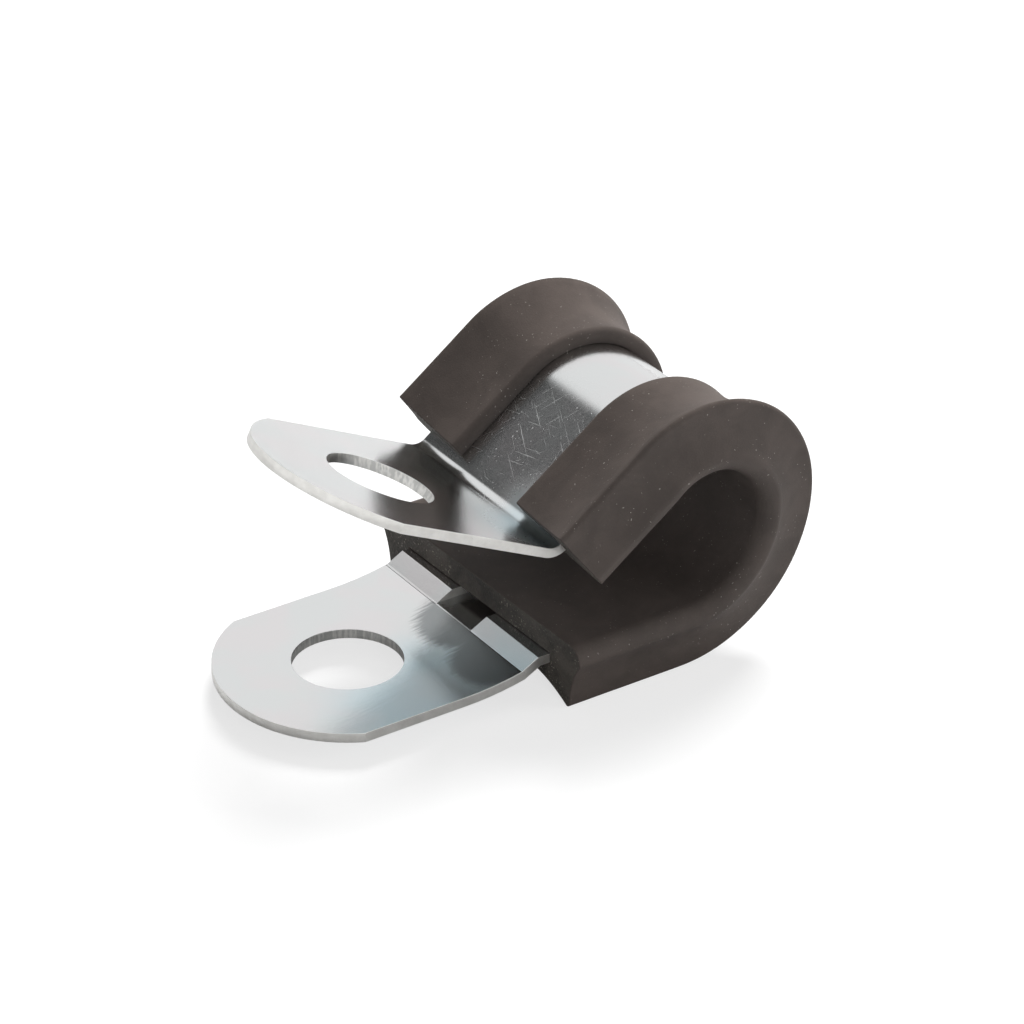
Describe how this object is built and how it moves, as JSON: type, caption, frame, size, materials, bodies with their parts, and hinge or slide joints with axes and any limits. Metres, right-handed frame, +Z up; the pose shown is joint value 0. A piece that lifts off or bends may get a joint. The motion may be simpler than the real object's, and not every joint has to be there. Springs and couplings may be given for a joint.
{
  "type": "p clip",
  "caption": "Rubber-lined steel P clip: a strap folded into a loop that holds a cable, with a holed tab at each end to take a fixing screw.",
  "frame": {"origin": "centre of the clip's footprint, on the surface that it lies on", "axes": "+X from the tabs towards the loop, Y across the strap and along the cable, +Z up from the lower tab's side to the upper tab's side"},
  "size_m": [0.0356, 0.0212, 0.0176],
  "materials": {
    "zinc_plate": "bright zinc plate over steel",
    "rubber": "matt charcoal EPDM rubber"
  },
  "bodies": {
    "root": {"strap": "zinc_plate", "lining": "rubber"}
  },
  "joints": []
}
